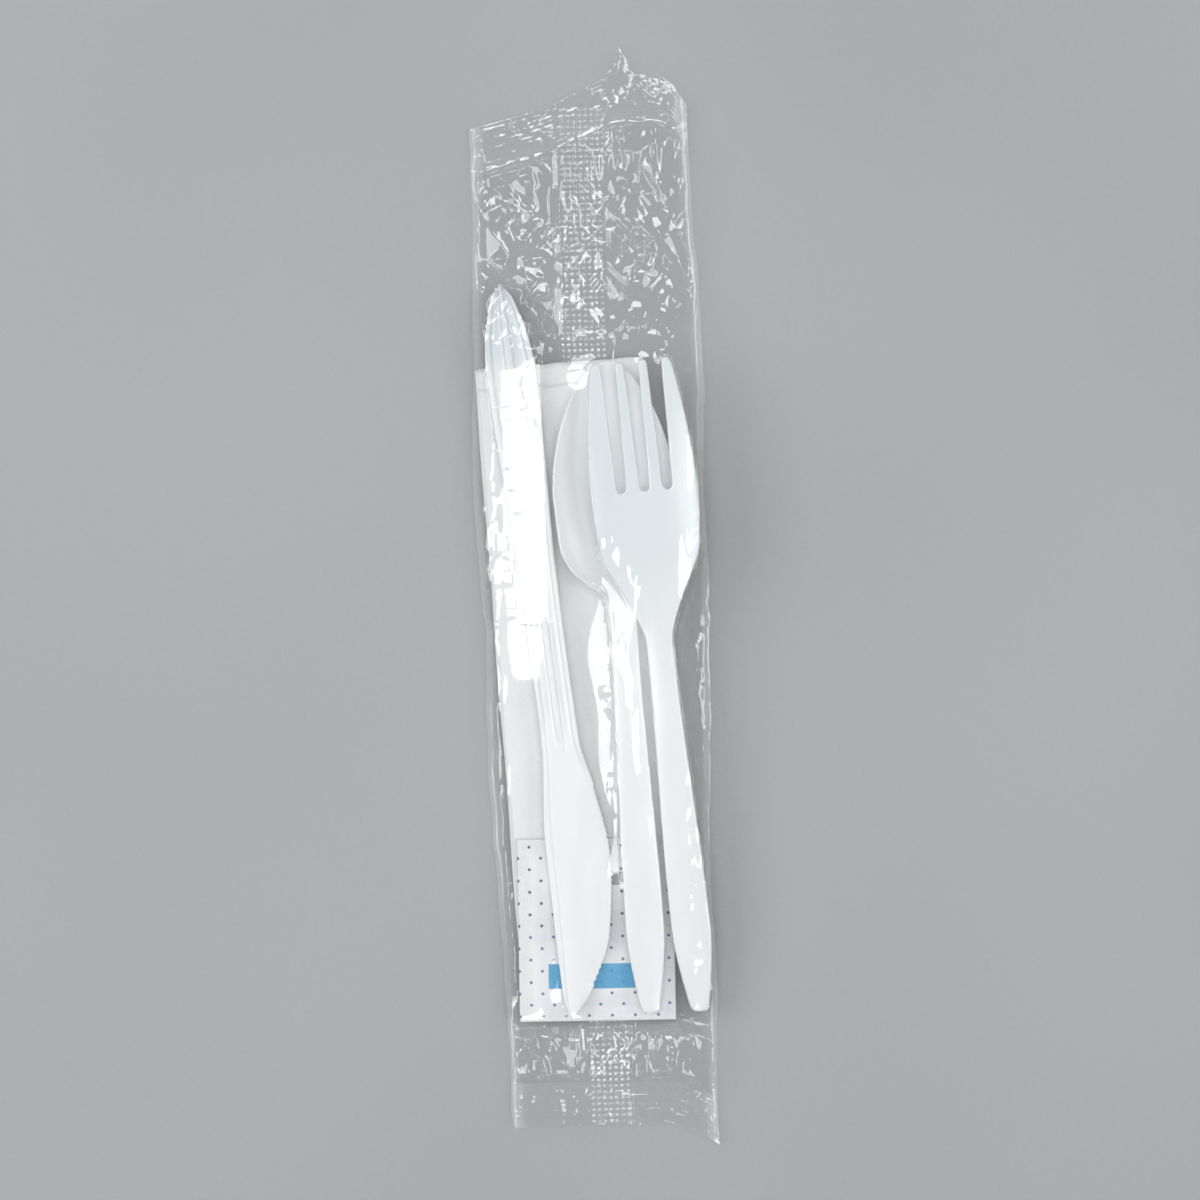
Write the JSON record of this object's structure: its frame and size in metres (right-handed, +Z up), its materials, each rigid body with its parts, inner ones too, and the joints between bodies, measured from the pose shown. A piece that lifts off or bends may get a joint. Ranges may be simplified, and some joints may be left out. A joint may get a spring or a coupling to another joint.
{
  "type": "wrapped plastic cutlery pack",
  "caption": "Clear flow-wrapped pack of disposable plastic fork, spoon and knife with a folded paper napkin and a twin salt and pepper sachet.",
  "frame": {"origin": "middle of the pack's outline, at the lowest point of its back, where it lies on a table", "axes": "+Y along the pack towards the fork's tines, +Z up through the front of the pack, +X to the right seen from the front"},
  "size_m": [0.0534, 0.2534, 0.0167],
  "materials": {
    "film": "glossy, clear",
    "fork_plastic": "satin",
    "spoon_plastic": "satin",
    "knife_plastic": "satin",
    "napkin_paper": "soft",
    "sachet_paper": "printed, semi-matte"
  },
  "bodies": {
    "root": {"film_sleeve": "film", "fork": "fork_plastic", "spoon": "spoon_plastic", "knife": "knife_plastic", "napkin": "napkin_paper", "twin_sachet": "sachet_paper"}
  },
  "joints": []
}
